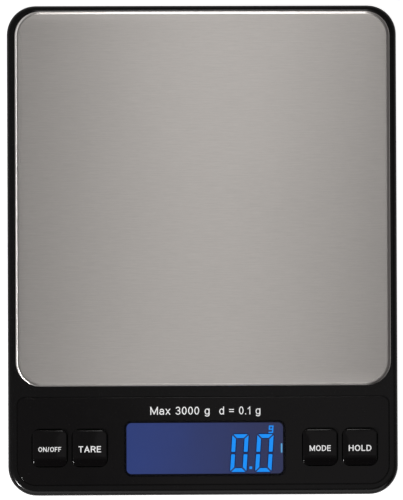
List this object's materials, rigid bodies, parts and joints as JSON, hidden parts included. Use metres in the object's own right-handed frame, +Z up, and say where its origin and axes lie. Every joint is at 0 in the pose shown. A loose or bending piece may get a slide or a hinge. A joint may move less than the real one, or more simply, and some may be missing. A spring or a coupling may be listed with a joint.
{
  "type": "digital gram scale",
  "caption": "Flat black bench scale with a square brushed-steel weighing tray on a load cell, a backlit display, push keys and a battery bay underneath.",
  "frame": {"origin": "on the table under the middle of the case", "axes": "+Z up, +Y from the control panel towards the back, +X to the right of someone facing the panel"},
  "size_m": [0.127, 0.1596, 0.02],
  "materials": {
    "case_black": "moulded black ABS, polished",
    "panel_black": "gloss black control panel",
    "key_black": "gloss black key caps",
    "window_clear": "clear acrylic display window",
    "tray_steel": "brushed stainless steel",
    "tape_white": "double-sided foam tape",
    "support_black": "moulded black ABS, matt",
    "foot_rubber": "soft black rubber",
    "board_green": "green solder resist on glass epoxy",
    "chip_black": "black epoxy",
    "display_glass": "display glass",
    "film_blue": "polarising film",
    "light_guide": "milky acrylic",
    "diode_white": "light diode package",
    "frame_white": "white moulded frame",
    "strip_rubber": "layered conductive elastomer",
    "screw_steel": "zinc plated steel",
    "cell_aluminium": "machined aluminium",
    "coating_white": "white silicone rubber",
    "shim_steel": "steel shim",
    "battery_jacket": "plain printed battery jacket",
    "contact_nickel": "nickel-plated spring steel",
    "switch_black": "black switch housing",
    "plunger_brown": "switch plunger",
    "wire_red": "red wire insulation",
    "wire_black": "black wire insulation",
    "wire_green": "green wire insulation",
    "wire_white": "white wire insulation"
  },
  "bodies": {
    "base": {"top_shell": "case_black", "bottom_shell": "case_black", "case_screws": "screw_steel", "fascia_panel": "panel_black", "display_window": "window_clear", "circuit_board": "board_green", "board_screws": "screw_steel", "controller_chip": "chip_black", "amplifier_chip": "chip_black", "passive_parts": "frame_white", "lcd_front_glass": "display_glass", "lcd_rear_glass": "display_glass", "lcd_polariser": "film_blue", "lcd_frame": "frame_white", "contact_strip": "strip_rubber", "backlight_guide": "light_guide", "backlight_diodes": "diode_white", "load_cell": "cell_aluminium", "gauge_coating": "coating_white", "fixed_end_shim": "shim_steel", "load_cell_base_screws": "screw_steel", "battery_cell_front": "battery_jacket", "battery_cell_back": "battery_jacket", "battery_contact_positive": "contact_nickel", "battery_contact_negative": "contact_nickel", "battery_contact_bridge": "contact_nickel", "battery_lead_red": "wire_red", "battery_lead_black": "wire_black", "gauge_lead_red": "wire_red", "gauge_lead_black": "wire_black", "gauge_lead_green": "wire_green", "gauge_lead_white": "wire_white", "switch_body_power": "switch_black", "switch_body_tare": "switch_black", "switch_body_mode": "switch_black", "switch_body_hold": "switch_black", "foot_front_left": "foot_rubber", "foot_front_right": "foot_rubber", "foot_back_left": "foot_rubber", "foot_back_right": "foot_rubber"},
    "platform": {"platform_plate": "tray_steel", "platform_tape": "tape_white", "platform_support": "support_black", "free_end_shim": "shim_steel", "load_cell_platform_screws": "screw_steel"},
    "door": {"battery_door": "case_black"},
    "power_key": {"key_power": "key_black", "switch_plunger_power": "plunger_brown"},
    "tare_key": {"key_tare": "key_black", "switch_plunger_tare": "plunger_brown"},
    "mode_key": {"key_mode": "key_black", "switch_plunger_mode": "plunger_brown"},
    "hold_key": {"key_hold": "key_black", "switch_plunger_hold": "plunger_brown"}
  },
  "joints": [
    {"name": "platform_load", "type": "slide", "parent": "base", "child": "platform", "axis": [0, 0, 1], "range_m": [-0.0004, 0], "stiffness_N_per_m": 30000, "springref_m": 0.00004, "deforming": ["load_cell"]},
    {"name": "power_press", "type": "slide", "parent": "base", "child": "power_key", "axis": [0, 0, 1], "range_m": [-0.0005, 0], "stiffness_N_per_m": 800, "springref_m": 0.0005},
    {"name": "tare_press", "type": "slide", "parent": "base", "child": "tare_key", "axis": [0, 0, 1], "range_m": [-0.0005, 0], "stiffness_N_per_m": 800, "springref_m": 0.0005},
    {"name": "mode_press", "type": "slide", "parent": "base", "child": "mode_key", "axis": [0, 0, 1], "range_m": [-0.0005, 0], "stiffness_N_per_m": 800, "springref_m": 0.0005},
    {"name": "hold_press", "type": "slide", "parent": "base", "child": "hold_key", "axis": [0, 0, 1], "range_m": [-0.0005, 0], "stiffness_N_per_m": 800, "springref_m": 0.0005},
    {"name": "door_tip", "type": "hinge", "parent": "base", "child": "door", "pos_m": [0, 0.0488, 0.0015], "axis": [-1, 0, 0], "range_deg": [0, 45]}
  ]
}
